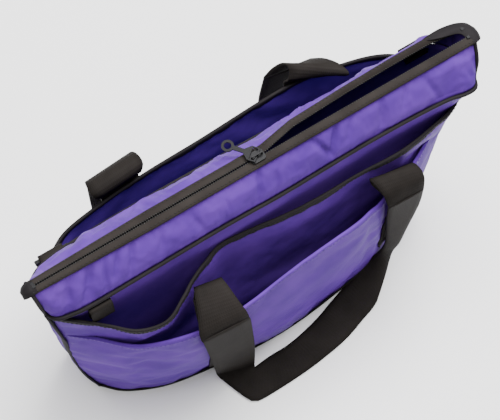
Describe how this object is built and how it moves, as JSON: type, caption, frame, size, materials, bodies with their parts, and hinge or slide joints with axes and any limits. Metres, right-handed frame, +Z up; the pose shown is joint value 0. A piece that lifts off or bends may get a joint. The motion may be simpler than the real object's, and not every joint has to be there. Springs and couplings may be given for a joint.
{
  "type": "zip-top document tote bag",
  "caption": "Soft nylon tote with a sloping zip top standing half open, open front and back pockets, webbing handles and strap rings.",
  "frame": {"origin": "on the floor, under the middle of the zip, at the middle of the main compartment's depth", "axes": "+X along the bag towards the end where the zip stands open, -Y towards the front pockets, +Z up"},
  "size_m": [0.4328, 0.2036, 0.308],
  "materials": {
    "purple_nylon": "plain woven nylon with a slight sheen",
    "black_tape": "matt woven tape",
    "black_webbing": "ribbed webbing",
    "coil_plastic": "satin",
    "board_plastic": "matt",
    "dark_metal": "semi-gloss"
  },
  "bodies": {
    "bag": {"main_front_panel": "purple_nylon", "main_back_panel": "purple_nylon", "left_end_panel": "purple_nylon", "right_end_panel": "purple_nylon", "bottom_panel": "purple_nylon", "base_board": "board_plastic", "bottom_binding": "black_tape", "front_document_pocket": "purple_nylon", "front_document_pocket_binding": "black_tape", "front_outer_pocket": "purple_nylon", "front_outer_pocket_binding": "black_tape", "back_pocket": "purple_nylon", "back_pocket_binding": "black_tape", "side_bindings": "black_tape", "top_gusset_front": "purple_nylon", "top_gusset_back": "purple_nylon", "seam_piping_front": "black_tape", "seam_piping_back": "black_tape", "zip_tape_front": "black_tape", "zip_tape_back": "black_tape", "zip_coil_front": "coil_plastic", "zip_coil_back": "coil_plastic", "zip_end_tab_left": "black_tape", "zip_end_tab_right": "black_tape", "zip_stops": "dark_metal", "front_handle_anchors": "black_webbing", "back_handle_anchors": "black_webbing", "ring_tab_left": "black_webbing", "ring_tab_right": "black_webbing", "key_tab": "black_webbing"},
    "zip_slider": {"zip_slider": "dark_metal"},
    "zip_pull": {"zip_pull": "dark_metal"},
    "front_handle": {"front_handle": "black_webbing"},
    "back_handle": {"back_handle": "black_webbing"},
    "strap_ring_left": {"strap_ring_left": "dark_metal"},
    "strap_ring_right": {"strap_ring_right": "dark_metal"}
  },
  "joints": [
    {"name": "front_handle_swing", "type": "hinge", "parent": "bag", "child": "front_handle", "pos_m": [0, -0.0796, 0.224], "axis": [-1, 0, 0], "range_deg": [0, 190]},
    {"name": "back_handle_swing", "type": "hinge", "parent": "bag", "child": "back_handle", "pos_m": [0, 0.0784, 0.242], "axis": [1, 0, 0], "range_deg": [0, 190]},
    {"name": "zip_slide", "type": "slide", "parent": "bag", "child": "zip_slider", "axis": [1, 0, 0], "range_m": [-0.196, 0.196]},
    {"name": "zip_pull_tilt", "type": "hinge", "parent": "zip_slider", "child": "zip_pull", "pos_m": [0, 0, 0.3054], "axis": [0.788, 0.6157, 0], "range_deg": [0, 165]},
    {"name": "left_ring_swing", "type": "hinge", "parent": "bag", "child": "strap_ring_left", "pos_m": [-0.176, 0.031, 0.257], "axis": [1, 0, 0], "range_deg": [-12, 150]},
    {"name": "right_ring_swing", "type": "hinge", "parent": "bag", "child": "strap_ring_right", "pos_m": [0.176, 0.031, 0.257], "axis": [1, 0, 0], "range_deg": [-12, 150]}
  ]
}
